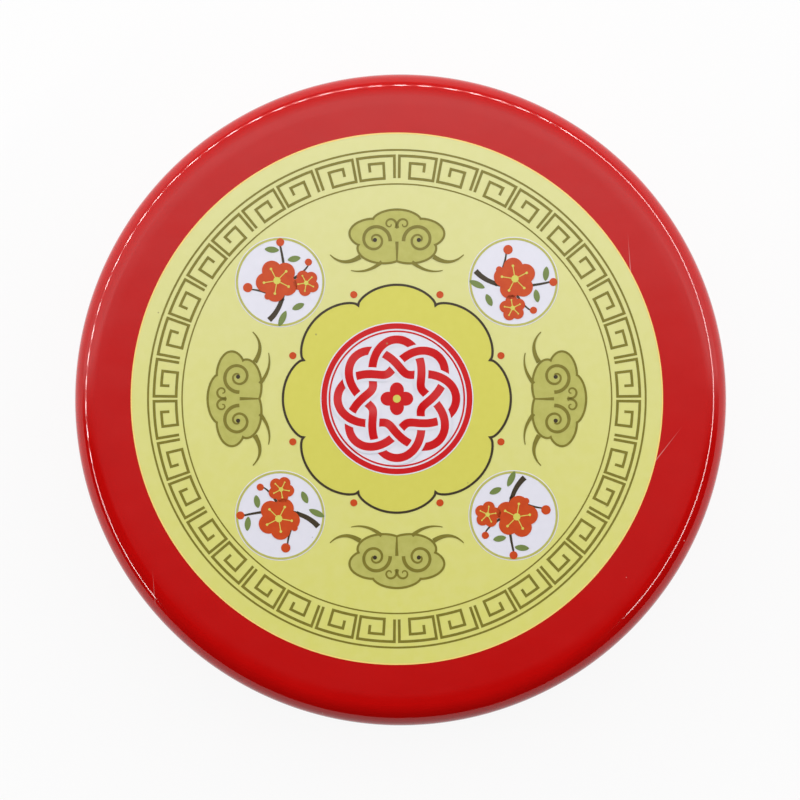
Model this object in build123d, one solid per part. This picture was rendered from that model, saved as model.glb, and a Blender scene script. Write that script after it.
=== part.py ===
from build123d import *
import os
from math import asin, cos, degrees, radians, sin

# A round slip-lid tin of red seal paste, closed. Millimetres, +Z up.
# The origin is the centre of the ring the tin stands on. +Y is the top of the printed face.
# Everything but the film's ear is round, so each piece is a section of radius and height,
# drawn in plain x and y and then turned about Z.

# The tin as a whole
tin_radius = 50.0  # outside of the lid, and of the base below it
box_height = 22.0  # closed, from the table to the printed face
tin_sheet = 0.3  # tinplate
curl = 1.5  # outside diameter of a rolled edge
slip_clearance = 0.05  # between the lid's curl and the base's neck, on the radius

# The lid
lid_shoulder = 3.5  # outside radius of the rounded edge
lid_seat_gap = 0.05  # between the lid's curl and the step it stops on

# The base
base_skirt = 7.0  # height of the step that the lid stops on
base_corner = 2.5  # outside radius at the foot
step_bend = 0.5  # middle radius of the step's two bends
neck_headroom = 0.4  # from the neck's rolled rim up to the lid's underside
foot_ring = 6.8  # width of the flat ring that the tin stands on
panel_raise = 0.8  # of the bottom inside that ring
panel_bend = 0.6  # middle radius of the bends round the raised middle
panel_slope = 50.0  # degrees

# The plastic dish that keeps the oil off the tin
dish_wall = 1.1
dish_corner = 3.0  # outside radius
dish_gap = 0.25  # between the dish and the neck's curl, on the radius
dish_rim_drop = 1.3  # from the neck's rim down to the dish's
snap_bead = 0.7  # radius of the bead that snaps under the neck's curl
snap_play = 0.05  # above that bead

# The silk, and the ring that holds it like a drum skin
well_depth = 6.7  # from the lid's underside down to the silk's crown
silk = 0.25
silk_gap = 0.05  # on each side of the silk where it is gripped
silk_edge = 1.0  # middle radius where the silk turns down
silk_hem = 3.0  # height that the silk's edge climbs outside the ring's skirt
dome_angle = 3.2  # degrees, the slope of the domed silk where it starts to turn down
ring_flange = 1.0
ring_edge = 0.45  # rounding of the flange's edges
skirt_wall = 1.3
skirt_drop = 10.5  # from the dish's rim to the bottom of the ring's skirt
ring_bead = 0.7  # radius of the bead that clicks into the dish's wall
ring_bead_drop = 3.0  # from the dish's rim down to that bead
ring_bead_play = 0.1  # round that bead

# What the silk covers
core_edge = 0.8  # rounding of the sponge's lower edge
paste_side = 0.5  # straight side of the paste, below its rounded edge

# The clear film that lies on the silk
film = 0.2
film_margin = 3.0  # from the film's edge out to the ring
film_gap = 0.1
ear_width = 12.0
ear_headroom = 2.7  # from the ear's tip up to the lid's underside
ear_bend = 1.5  # middle radius
ear_inset = 1.0  # from the film's edge in to the ear's root
ear_root_slope = 30.0  # degrees
ear_slope = 75.0  # degrees

# Radii, from the outside in
curl_mid = (curl - tin_sheet) / 2
neck_radius = tin_radius - curl - slip_clearance
rim_radius = neck_radius - curl
dish_radius = rim_radius - dish_gap
dish_inner = dish_radius - dish_wall
skirt_outer = dish_inner - silk - 2 * silk_gap
skirt_mid = skirt_outer - skirt_wall / 2
skirt_inner = skirt_outer - skirt_wall
silk_wall_mid = skirt_inner - silk_gap - silk / 2
core_radius = skirt_inner - silk - 2 * silk_gap
film_radius = skirt_inner - film_margin

# Heights, from the table up
tin_floor = panel_raise + tin_sheet
dish_floor = tin_floor + dish_wall
lid_underside = box_height - tin_sheet
neck_top = lid_underside - neck_headroom
dish_rim = neck_top - dish_rim_drop
skirt_centre = dish_rim - skirt_drop + skirt_wall / 2

# The dome of the silk: its middle radius, its crown, and where it has turned down
dome_slope = radians(dome_angle)
dome_radius = (silk_wall_mid - silk_edge * (1 - sin(dome_slope))) / sin(dome_slope)
silk_crown = lid_underside - well_depth - silk / 2
silk_turn = silk_crown - dome_radius * (1 - cos(dome_slope)) - silk_edge * cos(dome_slope)
core_top = silk_turn - paste_side

FULL_TURN = 360
QUARTER = 90
CURL_TURN = 270  # a rolled edge stops short of the wall that it rolls from


def run(length):
    """A straight stretch of a section's middle line."""
    return ("run", length, 0)


def bend(radius, degrees):
    """A bend of a section's middle line, to the left where degrees is above zero."""
    return ("bend", radius, degrees)


def joggle(shift, radius, degrees):
    """Two equal bends that move the middle line to the left by shift, or to the right."""
    side = 1 if degrees > 0 else -1
    angle = radians(abs(degrees))
    slope = (shift - 2 * radius * (1 - cos(angle))) / sin(angle)
    return [bend(radius, side * abs(degrees)), run(slope), bend(radius, -side * abs(degrees))]


def joggle_advance(shift, radius, degrees):
    """How far such a joggle goes forward."""
    angle = radians(abs(degrees))
    slope = (shift - 2 * radius * (1 - cos(angle))) / sin(angle)
    return 2 * radius * sin(angle) + slope * cos(angle)


def offset_edges(start, heading, moves, shift):
    """The line that runs beside the middle line, at shift to its left, as a list of edges."""
    way = Vector(1, 0).rotate(Axis.Z, heading)
    point = Vector(*start) + way.rotate(Axis.Z, QUARTER) * shift
    edges = []
    for kind, size, degrees in moves:
        if kind == "run":
            edge = Line(point, point + way * size)
        else:
            side = 1 if degrees > 0 else -1
            edge = JernArc(point, way, size - side * shift, degrees)
        edges.append(edge)
        point = edge @ 1
        way = way.rotate(Axis.Z, degrees)
    return edges


def strip(start, heading, moves, thickness):
    """The section of a wall of even thickness, along a middle line of runs and bends."""
    left = offset_edges(start, heading, moves, thickness / 2)
    right = offset_edges(start, heading, moves, -thickness / 2)
    first = Line(left[0] @ 0, right[0] @ 0)
    last = Line(left[-1] @ 1, right[-1] @ 1)
    return make_face([*left, *right, first, last])


def block(inner, outer, low, high):
    """A rectangle of a section, from one radius to another and one height to another."""
    return Pos((inner + outer) / 2, (low + high) / 2) * Rectangle(outer - inner, high - low)


def turned(section):
    """The solid that a section makes when it is turned about Z."""
    return revolve(Plane.XZ * section, Axis.Z, FULL_TURN)


def make_lid_shell():
    """Drawn cap: flat face, rounded shoulder, wall, and an edge rolled inwards."""
    curl_centre = base_skirt + lid_seat_gap + curl / 2
    moves = [
        run(tin_radius - lid_shoulder),
        bend(lid_shoulder - tin_sheet / 2, -QUARTER),
        run(box_height - lid_shoulder - curl_centre),
        bend(curl_mid, -CURL_TURN),
    ]
    return turned(strip((0, box_height - tin_sheet / 2), 0, moves, tin_sheet))


def make_base_shell():
    """Drawn cup: raised middle, foot ring, wall, inward step, neck, and a rolled rim."""
    panel_advance = joggle_advance(panel_raise, panel_bend, panel_slope)
    panel_radius = tin_radius - base_corner - foot_ring - panel_advance
    step_width = tin_radius - neck_radius
    step_mid = base_skirt - tin_sheet / 2
    step = joggle(step_width, step_bend, QUARTER)
    neck_start = step_mid + step_bend
    moves = [
        run(panel_radius),
        *joggle(panel_raise, panel_bend, -panel_slope),
        run(foot_ring),
        bend(base_corner - tin_sheet / 2, QUARTER),
        run(step_mid - step_bend - base_corner),
        *step,
        run(neck_top - curl / 2 - neck_start),
        bend(curl_mid, CURL_TURN),
    ]
    return turned(strip((0, panel_raise + tin_sheet / 2), 0, moves, tin_sheet))


def make_inner_dish():
    """Moulded dish that snaps under the neck's curl, with a groove for the ring's bead."""
    moves = [
        run(dish_radius - dish_corner),
        bend(dish_corner - dish_wall / 2, QUARTER),
        run(dish_rim - tin_floor - dish_corner),
    ]
    section = strip((0, tin_floor + dish_wall / 2), 0, moves, dish_wall)
    bead_height = neck_top - curl - snap_play - snap_bead
    section += Pos(dish_radius, bead_height) * Circle(snap_bead)
    section -= Pos(skirt_outer, dish_rim - ring_bead_drop) * Circle(ring_bead + ring_bead_play)
    return turned(section)


def make_clamp_ring():
    """Ring that pushes the silk down inside the dish: flange, skirt, round foot and bead."""
    flange = block(skirt_inner, dish_radius, dish_rim, dish_rim + ring_flange)
    flange = fillet(flange.vertices().group_by(Axis.Y)[-1], ring_edge)
    section = flange + block(skirt_inner, skirt_outer, skirt_centre, dish_rim)
    section += Pos(skirt_mid, skirt_centre) * Circle(skirt_wall / 2)
    section += Pos(skirt_outer, dish_rim - ring_bead_drop) * Circle(ring_bead)
    return turned(section)


def dome_moves(below):
    """Middle line of the silk from its crown out, over its edge, and down by below."""
    return [
        bend(dome_radius, -dome_angle),
        bend(silk_edge, dome_angle - QUARTER),
        run(below),
    ]


def make_pad_cloth():
    """Silk: domed face, down inside the skirt, round its foot, and up behind it."""
    foot_bend = (skirt_wall + silk) / 2 + silk_gap
    moves = [
        *dome_moves(silk_turn - skirt_centre),
        bend(foot_bend, 2 * QUARTER),
        run(silk_hem),
    ]
    return turned(strip((0, silk_crown), 0, moves, silk))


def make_paste_layer():
    """Paste that fills the space between the sponge and the silk."""
    under = offset_edges((0, silk_crown), 0, dome_moves(paste_side), -silk / 2 - silk_gap)
    crown = under[0] @ 0
    side = under[-1] @ 1
    floor = Line((side.X, core_top), (0, core_top))
    axis = Line((0, core_top), crown)
    return turned(make_face([*under, floor, axis]))


def make_pad_core():
    """Sponge disc that holds the oil, on the dish's floor."""
    section = block(0, core_radius, dish_floor, core_top)
    lower = section.vertices().sort_by(Axis.X)[-2:].sort_by(Axis.Y)[0]
    return turned(fillet(lower, core_edge))


def make_cover_film():
    """Clear film, domed as the silk is, with an ear turned up at the front edge."""
    shift = silk / 2 + film_gap + film / 2
    film_dome = dome_radius + shift
    crown = silk_crown + shift
    edge_angle = degrees(asin(film_radius / film_dome))
    disc = turned(strip((0, crown), 0, [bend(film_dome, -edge_angle)], film))
    root_radius = film_radius - ear_inset
    root_height = crown - film_dome + (film_dome**2 - root_radius**2) ** 0.5
    bend_rise = ear_bend * (cos(radians(ear_root_slope)) - cos(radians(ear_slope)))
    rise = lid_underside - ear_headroom - root_height - bend_rise
    moves = [
        bend(ear_bend, ear_slope - ear_root_slope),
        run(rise / sin(radians(ear_slope))),
    ]
    section = strip((root_radius, root_height), ear_root_slope, moves, film)
    ear = extrude(Plane.XZ * section, ear_width / 2, both=True)
    return disc + Rot(Z=-QUARTER) * ear


PIECES = {
    "lid_shell": make_lid_shell,
    "base_shell": make_base_shell,
    "inner_dish": make_inner_dish,
    "clamp_ring": make_clamp_ring,
    "pad_cloth": make_pad_cloth,
    "paste_layer": make_paste_layer,
    "pad_core": make_pad_core,
    "cover_film": make_cover_film,
}

os.makedirs("parts", exist_ok=True)
for name, make in PIECES.items():
    piece = make()
    piece.label = name
    export_step(piece, f"parts/{name}.step")
    print(name, "solids", len(piece.solids()), "volume", round(piece.volume, 1))
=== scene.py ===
# %% [markdown]
# # A round tin of seal paste
# At rest the tin is closed: a red lid with a printed face stands over a base cup. Under the lid lie a
# clear film, a silk pad soaked with red paste, and the white plastic that holds it all. The frame
# brings the sizes, the joints and plain solids. This lesson dresses them, one piece at a time.
# Each step says what the piece is on the real tin, how it could be made, and why this way was taken.

# %% Load the frame
from math import atan, cos, degrees, pi, radians, sin

import bmesh
import bpy
import numpy as np
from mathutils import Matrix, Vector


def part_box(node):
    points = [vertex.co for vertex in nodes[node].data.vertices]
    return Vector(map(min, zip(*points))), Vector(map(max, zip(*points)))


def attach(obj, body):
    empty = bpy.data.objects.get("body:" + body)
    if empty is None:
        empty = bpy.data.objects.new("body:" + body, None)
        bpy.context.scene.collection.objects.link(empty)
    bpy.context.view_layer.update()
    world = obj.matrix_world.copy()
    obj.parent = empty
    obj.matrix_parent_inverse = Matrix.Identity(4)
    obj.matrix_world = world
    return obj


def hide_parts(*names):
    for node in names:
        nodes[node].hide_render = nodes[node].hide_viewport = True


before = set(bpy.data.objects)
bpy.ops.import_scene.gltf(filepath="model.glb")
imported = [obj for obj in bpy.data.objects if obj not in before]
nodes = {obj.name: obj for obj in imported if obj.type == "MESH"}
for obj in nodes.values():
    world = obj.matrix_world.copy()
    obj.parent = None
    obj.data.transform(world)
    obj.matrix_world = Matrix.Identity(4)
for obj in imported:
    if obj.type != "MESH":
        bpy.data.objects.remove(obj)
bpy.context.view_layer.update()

# %% [markdown]
# ## Sizes
# The frame tells how wide and how high the tin and its pieces are. What a box can't tell, such as the
# thickness of the tinplate or how round a bend is, is named once, in millimetres, where the first
# piece needs it.

# %% Measure the tin
MM = 0.001

lid_low, lid_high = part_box("lid_shell")
tin_radius = lid_high.x
face_height = lid_high.z
lid_hem = lid_low.z

tinplate = 0.3 * MM
curl_width = 1.5 * MM
curl_bend = (curl_width - tinplate) / 2
shoulder = 3.5 * MM
flat_radius = tin_radius - shoulder
print("tin radius", round(tin_radius / MM, 2), "mm, height", round(face_height / MM, 2), "mm")

# %% [markdown]
# ## Surfaces from numbers
# A drawn tin is a flat sheet that was pressed round, so every wall is a line with a thickness, turned
# about the axis. Blender's Spin tool could turn a profile too, but an array of points is exact, quick
# and easy to change: one axis of the array goes round the tin and the other goes along the profile.

# %% Follow the middle line of a bent sheet
def run(length, parts=1):
    """A straight stretch of a middle line, cut into some parts."""
    return (length, 0.0, parts)


def bend(radius, turn, parts):
    """A round stretch of that middle radius. A turn above zero degrees goes to the left."""
    return (radius, turn, parts)


def trace(start, heading, moves):
    """Points of a middle line, and at each the unit vector to its left, (-sin w, cos w).
    A straight move adds length * (cos w, sin w) for its heading w. A bend goes round the centre that
    lies one radius to the side it turns to: centre + side * radius * (sin w, -cos w)."""
    here, way = np.array(start, float), radians(heading)
    points, lefts = [], []
    for size, turn, parts in moves:
        share = np.linspace(0, 1, parts + 1)
        ways = way + share * radians(turn)
        if turn:
            side = np.sign(turn)
            centre = here + side * size * np.array([-sin(way), cos(way)])
            line = centre + side * size * np.stack([np.sin(ways), -np.cos(ways)], axis=1)
        else:
            line = here + share[:, None] * size * np.array([cos(way), sin(way)])
        points.append(line[:-1])
        lefts.append(np.stack([-np.sin(ways), np.cos(ways)], axis=1)[:-1])
        here, way = line[-1], ways[-1]
    points.append(here[None])
    lefts.append(np.array([[-sin(way), cos(way)]]))
    return np.concatenate(points), np.concatenate(lefts)


def wall(start, heading, moves, thickness):
    """Outline of a sheet of even thickness: out along its right side, then back along its left.
    Each side is the middle line moved square to itself by half the thickness."""
    points, lefts = trace(start, heading, moves)
    shift = lefts * thickness / 2
    return np.concatenate([points - shift, (points + shift)[::-1]])


def turned(outline, steps):
    """Surface of revolution: the point (r, h) goes to (r cos a, r sin a, h), a going round."""
    a = np.linspace(0, 2 * pi, steps, endpoint=False)[:, None]
    r, h = outline.T
    return np.stack([r * np.cos(a), r * np.sin(a), h + 0 * a], axis=-1)


print("a quarter bend of radius 1 ends at", trace((0, 0), 0, [bend(1, 90, 4)])[0][-1].round(3))

# %% [markdown]
# A grid of points becomes faces by naming the four corners of each cell. Where the tin closes on
# itself, the last row joins the first. The faces could be named in a loop, but slices of a whole
# array of numbers do it at once.

# %% Name the corners of a grid's cells
def corners_of(values):
    """The values of a grid at the four corners of each of its cells."""
    four = [values[:-1, :-1], values[1:, :-1], values[1:, 1:], values[:-1, 1:]]
    return np.stack(four, axis=2).reshape(-1, 4, *values.shape[2:])


def cells(rows, columns, closed):
    """The four corners of each cell of a grid, going along the rows first and then the columns."""
    index = np.arange(rows * columns).reshape(rows, columns)
    if closed[0]:
        index = np.concatenate([index, index[:1]])
    if closed[1]:
        index = np.concatenate([index, index[:, :1]], axis=1)
    return corners_of(index)


def grid(points, closed=(True, False), finish=0, uv=None):
    """A grid of points with what its faces need: corners, number of their finish, and UVs."""
    rows, columns = points.shape[:2]
    faces = cells(rows, columns, closed)
    which = np.broadcast_to(finish, (rows - 1 + closed[0], columns - 1 + closed[1])).ravel()
    flat = np.zeros((len(faces), 4, 2)) if uv is None else corners_of(uv)
    return points.reshape(-1, 3), faces, which, flat


print("a closed ring of 6 by 3 points has", len(cells(6, 3, (True, False))), "cells")

# %% [markdown] Points that fall together, as all of a row does on the axis, are merged once they are
# in a mesh, so that no pole or seam is left open.

# %% Make one piece out of grids
SAME_PLACE = 0.0005 * MM
CREASE = 40.0


def put_in_scene(name, data):
    """An object that holds a mesh or a camera, at the origin of the scene."""
    made = bpy.data.objects.new(name, data)
    bpy.context.scene.collection.objects.link(made)
    return made


def make_piece(name, grids, finishes, body, replaced=()):
    """One piece out of several grids. Points in the same place are merged, and edges that bend by
    more than CREASE degrees are sharp."""
    points, faces, which, flat = zip(*grids)
    starts = np.cumsum([0] + [len(part) for part in points[:-1]])
    faces = [part + start for part, start in zip(faces, starts)]
    mesh = bpy.data.meshes.new(name)
    mesh.from_pydata(np.concatenate(points), [], np.concatenate(faces))
    for finish in finishes:
        mesh.materials.append(finish)
    mesh.polygons.foreach_set("material_index", np.concatenate(which).astype(np.int32))
    layer = mesh.uv_layers.new(name="flat")
    layer.data.foreach_set("uv", np.concatenate(flat).astype(np.float32).ravel())
    work = bmesh.new()
    work.from_mesh(mesh)
    bmesh.ops.remove_doubles(work, verts=work.verts, dist=SAME_PLACE)
    volume = work.calc_volume(signed=True)
    work.to_mesh(mesh)
    work.free()
    mesh.shade_smooth()
    mesh.set_sharp_from_angle(angle=radians(CREASE))
    piece = put_in_scene(name, mesh)
    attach(piece, body)
    if replaced:
        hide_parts(*replaced)
    print(name, "faces", len(mesh.polygons), "volume", round(volume / MM**3, 1), "mm3")
    return piece


print("points closer than", round(SAME_PLACE / MM, 4), "mm are merged")

# %% [markdown]
# ## Finishes from nodes
# Every finish is a small graph of nodes on the Principled shader. Writing a graph by hand takes many
# lines, so a few helpers add a node and link it in one line each.

# %% Helpers that add nodes
class Nodes:
    """A new material, or else a world, and the nodes that are added to it."""

    def __init__(self, name, world=None):
        self.owner = world or bpy.data.materials.new(name)
        self.owner.use_nodes = True
        self.tree = self.owner.node_tree
        self.shader = self.tree.nodes["Background" if world else "Principled BSDF"]
        self.look = self.add("ShaderNodeTexCoord").outputs
        self.place = self.look["Object"]

    def add(self, kind, values=(), **settings):
        """A node with its settings, and a value or another node's output for each named input."""
        made = self.tree.nodes.new(kind)
        for key, value in settings.items():
            setattr(made, key, value)
        for key, value in dict(values).items():
            self.put(made.inputs[key], value)
        return made

    def put(self, socket, value):
        """Links an output to a socket, or sets the socket's own value."""
        if isinstance(value, bpy.types.NodeSocket):
            self.tree.links.new(value, socket)
        else:
            socket.default_value = value

    def finish(self, **values):
        """Puts a value or an output on each named socket of the shader."""
        for key, value in values.items():
            self.put(self.shader.inputs[key.replace("_", " ")], value)
        return self.owner

    def glow(self, colour, strength):
        """Light that a surface gives by itself."""
        return self.add("ShaderNodeEmission", {"Color": colour, "Strength": strength}).outputs[0]

    def surface(self, output):
        """Makes another shader's output the surface."""
        self.put(self.tree.nodes["Material Output"].inputs["Surface"], output)
        return self.owner


def solid(red, green, blue):
    """A colour with full cover."""
    return (red, green, blue, 1.0)


print("helpers that add nodes:", [name for name in vars(Nodes) if name[0] != "_"])

# %% [markdown]
# The patterns come on top of these. Unless another place is given, they read Object coordinates, which
# are metres on the tin, so a pattern's size is a real size. Generated coordinates would do for one
# piece, but they stretch with its box, and two pieces side by side would differ.

# %% Helpers for patterns
class Graph(Nodes):
    """A graph with sums and patterns, each of them a node or two."""

    def math(self, operation, a, b=0.0, c=0.0):
        """The result of one sum, named as in Blender's Math node, on numbers or outputs."""
        made = self.add("ShaderNodeMath", {0: a, 1: b, 2: c}, operation=operation)
        return made.outputs[0]

    def noise(self, size, detail=2.0, place=None, roughness=0.5):
        """Noise from 0 to 1 whose lumps are about that size in metres."""
        values = {"Vector": place or self.place, "Scale": 1 / size}
        values.update({"Detail": detail, "Roughness": roughness})
        return self.add("ShaderNodeTexNoise", values).outputs["Fac"]

    def seeds(self, size, place=None, **settings):
        """Distance to the nearest seed of a scatter whose seeds lie about that size apart, as a share
        of the size, and the random colour of that seed."""
        values = {"Vector": place or self.place, "Scale": 1 / size}
        made = self.add("ShaderNodeTexVoronoi", values, **settings)
        return made.outputs["Distance"], made.outputs["Color"]

    def step(self, value, low, high, start=0.0, end=1.0):
        """A smooth step from start to end as value goes from low to high."""
        values = {"Value": value, "From Min": low, "From Max": high, "To Min": start, "To Max": end}
        made = self.add("ShaderNodeMapRange", values, interpolation_type="SMOOTHSTEP")
        return made.outputs["Result"]

    def mix(self, share, first, second):
        """The colour that goes from first to second as share goes from 0 to 1."""
        made = self.add("ShaderNodeMix", {0: share}, data_type="RGBA")
        self.put(made.inputs[6], first)
        self.put(made.inputs[7], second)
        return made.outputs[2]

    def bump(self, height, depth, under=None):
        """Bends the normal as if height, from 0 to 1, were depth in metres."""
        values = {"Height": height, "Distance": depth, "Strength": 1.0}
        if under is not None:
            values["Normal"] = under
        return self.add("ShaderNodeBump", values).outputs["Normal"]

    def parts(self, place=None):
        """The x, y and z of a place."""
        return self.add("ShaderNodeSeparateXYZ", {0: place or self.place}).outputs

    def distance_out(self):
        """How far a point is from the tin's axis: the square root of x squared plus y squared."""
        x, y, _ = self.parts()
        squares = [self.math("MULTIPLY", side, side) for side in (x, y)]
        return self.math("SQRT", self.math("ADD", *squares))

    def squeezed(self, scale):
        """Object coordinates times a scale along each axis. A small scale draws a pattern out that
        way, for scratches and grain."""
        return self.add("ShaderNodeMapping", {"Vector": self.place, "Scale": scale}).outputs["Vector"]


print("helpers for patterns:", [name for name in vars(Graph) if name[0] != "_"])

# %% [markdown]
# ## Red lacquer
# The sheet is printed and varnished before it is pressed, so the red is thick, wet-looking and very
# even. What gives it away as paint is small: a skin that isn't quite smooth, so that a mirrored line
# wavers a little, fine scratches on the face, and dust that sits on it. An image could carry them, but
# it would repeat or have seams, and noise does neither. Each is a short function, because the inks of
# the print lie under the same varnish and dust.

# %% Varnish, dust and scratches
VARNISH_GLOSS = 0.42
VARNISH_DULLNESS = (0.058, 0.082)
PATCH_SIZE = 9 * MM
PATCH_LIMITS = (0.3, 0.7)
PEEL_SIZE, PEEL_DEPTH = 0.9 * MM, 0.002 * MM
SWELL_SIZE, SWELL_DEPTH = 7 * MM, 0.02 * MM
SPECK_CORE = 0.6
SCRATCH_SPACING, SCRATCH_SIZE, SCRATCH_STRETCH = 2.6 * MM, 0.036, 90.0


def skin(g):
    """The varnish's skin: fine orange peel over a longer, fainter swell."""
    swell = g.bump(g.noise(SWELL_SIZE, 1.0), SWELL_DEPTH)
    return g.bump(g.noise(PEEL_SIZE, 1.0), PEEL_DEPTH, swell)


def dullness(g):
    """Roughness of the varnish, a touch higher in soft patches."""
    return g.step(g.noise(PATCH_SIZE, 2.0), *PATCH_LIMITS, *VARNISH_DULLNESS)


def specks(g, seeds, core, size, left_out):
    """1 up to the distance core from a seed, falling to 0 at the distance size, but only round seeds
    whose random number is above left_out. With 0.8 left out, one seed in five has a speck."""
    distance, colour = seeds
    chance = g.add("ShaderNodeSeparateColor", {0: colour}).outputs[0]
    near = g.step(distance, core, size, 1.0, 0.0)
    return g.math("MULTIPLY", near, g.math("GREATER_THAN", chance, left_out))


def dust(g, spacing, size, left_out):
    """Small round specks. Their size is a share of their spacing."""
    return specks(g, g.seeds(spacing), size * SPECK_CORE, size, left_out)


def scratches(g, turn, left_out):
    """Long fine scratches: specks in a flat space that is drawn out along one direction, so that each
    becomes a hair some millimetres long."""
    values = {"Vector": g.place, "Rotation": (0, 0, radians(turn)), "Scale": (1.0, SCRATCH_STRETCH, 1.0)}
    drawn = g.add("ShaderNodeMapping", values, vector_type="TEXTURE").outputs["Vector"]
    hairs = g.seeds(SCRATCH_SPACING, drawn, voronoi_dimensions="2D")
    return specks(g, hairs, 0.0, SCRATCH_SIZE, left_out)


print("varnish roughness", VARNISH_DULLNESS, "peel", round(PEEL_DEPTH / MM, 4), "mm deep")

# %% [markdown]
# The red itself is two near reds in a faint mottle. Where two pieces rub, the paint wears to bare
# metal. Paint over metal could be two shaders mixed, but one shader with a mask exports as plain maps.

# %% Mix the lacquer
REDS = (solid(0.405, 0.0022, 0.0020), solid(0.45, 0.0032, 0.0028))
RED_MOTTLE = 5 * MM
TIN_COLOUR = solid(0.44, 0.42, 0.38)
WORN_DULLNESS = 0.42
DUST_COLOUR = solid(0.80, 0.66, 0.62)
DUST_SPACING, DUST_SIZE, DUST_LEFT_OUT, DUST_COVER = 2.3 * MM, 0.04, 0.80, 0.5
SCRATCH_SETS = ((4, 0.72), (-38, 0.80))
SCRATCH_COVER = 0.4
SCRATCH_DEPTHS = (1.0 * MM, 0.5 * MM)
HEM_WEAR = 0.5 * MM
HEM_PATCH = 1.6 * MM
HEM_LIMITS = (0.42, 0.56)


def lacquer(name, rubbed):
    """Red lacquer, worn to tin by as much as rubbed says for that graph, from 0 to 1. Scratches show
    on the face alone, and fade out between two depths below it."""
    g = Graph(name)
    _, _, z = g.parts()
    dusty = g.math("MULTIPLY", dust(g, DUST_SPACING, DUST_SIZE, DUST_LEFT_OUT), DUST_COVER)
    on_top = g.step(z, *[face_height - depth for depth in SCRATCH_DEPTHS])
    hairs = g.math("MAXIMUM", *[scratches(g, turn, left_out) for turn, left_out in SCRATCH_SETS])
    hairs = g.math("MULTIPLY", hairs, g.math("MULTIPLY", on_top, SCRATCH_COVER))
    red = g.mix(g.noise(RED_MOTTLE, 3.0), *REDS)
    red = g.mix(g.math("MAXIMUM", dusty, hairs), red, DUST_COLOUR)
    worn = rubbed(g)
    dull = g.math("MULTIPLY", g.math("MAXIMUM", dusty, worn), WORN_DULLNESS)
    g.finish(Base_Color=g.mix(worn, red, TIN_COLOUR), Metallic=worn, Normal=skin(g))
    return g.finish(Roughness=g.math("MAXIMUM", dullness(g), dull), Specular_IOR_Level=VARNISH_GLOSS)


def hem_rub(g):
    """Wear on the lid: a share that falls from 1 at the hem to 0 a little above it, times ragged
    noise, so that only patches low on the rolled edge pass the limits."""
    _, _, z = g.parts()
    low = g.step(z, lid_hem, lid_hem + HEM_WEAR, 1.0, 0.0)
    ragged = g.math("MULTIPLY", low, g.noise(HEM_PATCH, 4.0))
    return g.step(ragged, *HEM_LIMITS)


lid_red = lacquer("lid_red_lacquer", hem_rub)
print("finish", lid_red.name)

# %% [markdown]
# Inside, the tinplate is bare. Rolled tin has a faint grain along the way it came off the mill, and a
# dull, slightly warm shine. An anisotropic shine could hint at the grain, but noise that is stretched
# along one axis also shows its lines.

# %% Bare tin
GRAIN_SIZE, GRAIN_DEPTH = 0.35 * MM, 0.004 * MM
GRAIN_STRETCH = (0.04, 1.0, 1.0)
TIN_CLOUD_SIZE, TIN_CLOUD_SHARE = 14 * MM, 0.6
TIN_LIMITS = (0.5, 1.1)
TINS = (solid(0.52, 0.50, 0.45), solid(0.68, 0.66, 0.61))
TIN_DULLNESS = (0.27, 0.44)


def bare_tin():
    """Grain that runs along x, and soft clouds that tint the tin. Both dull its shine."""
    g = Graph("bare_tinplate")
    grain = g.noise(GRAIN_SIZE, 3.0, g.squeezed(GRAIN_STRETCH))
    cloud = g.noise(TIN_CLOUD_SIZE, 3.0)
    both = g.math("ADD", grain, g.math("MULTIPLY", cloud, TIN_CLOUD_SHARE))
    g.finish(Base_Color=g.mix(cloud, *TINS), Metallic=1.0, Normal=g.bump(grain, GRAIN_DEPTH))
    return g.finish(Roughness=g.step(both, *TIN_LIMITS, *TIN_DULLNESS))


tin = bare_tin()
print("finish", tin.name)

# %% [markdown]
# ## The lid
# The lid is a disc of tinplate pressed into a cap: a flat face, a rounded shoulder, a straight wall,
# and an edge that is rolled inwards so that it doesn't cut. A press never leaves the face quite flat,
# and the light shows it, so the face gets a wave of a few hundredths of a millimetre that dies out at
# the shoulder. A Displace modifier could raise it, but a function of place lets the print lie on the
# same wave.

# %% Press the lid
FACE_WAVE = 0.035 * MM
FACE_WAVE_SIZES = (9 * MM, 17 * MM, 11 * MM, 23 * MM)
LID_STEPS = 384


def face_wave(x, y):
    """Height of the face's wave: half its depth times the slow sines
    sin(x / a + 1.3 sin(y / b)) + cos(y / c - x / d), times a share that falls to 0 at the shoulder as
    1 - (r / R)^6."""
    a, b, c, d = FACE_WAVE_SIZES
    slow = np.sin(x / a + 1.3 * np.sin(y / b)) + np.cos(y / c - x / d)
    share = np.clip(1 - (np.hypot(x, y) / flat_radius) ** 6, 0, 1)
    return FACE_WAVE / 2 * slow * share


def press_lid():
    """Out along the face, round the shoulder, down the wall and round the rolled edge. The outside is
    red and the inside bare."""
    curl_centre = lid_hem + curl_width / 2
    moves = [
        run(flat_radius, 30),
        bend(shoulder - tinplate / 2, -90, 16),
        run(face_height - shoulder - curl_centre, 4),
        bend(curl_bend, -270, 20),
    ]
    outline = wall((0, face_height - tinplate / 2), 0, moves, tinplate)
    points = turned(outline, LID_STEPS)
    x, y, z = np.moveaxis(points, -1, 0)
    z += face_wave(x, y) * (z > face_height - shoulder)
    half = len(outline) // 2
    inside = (np.arange(len(outline) - 1) < half).astype(int)
    return make_piece("lid_cap", [grid(points, finish=inside)], [lid_red, tin], "lid",
                      ["lid_shell"])


press_lid()

# %% [markdown]
# ## The base
# The lid's edge rubs the base's neck, so its paint has fine upright scratches that show the tin. They
# could be painted by hand, but noise that is drawn out in z makes them all round the neck.

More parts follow.
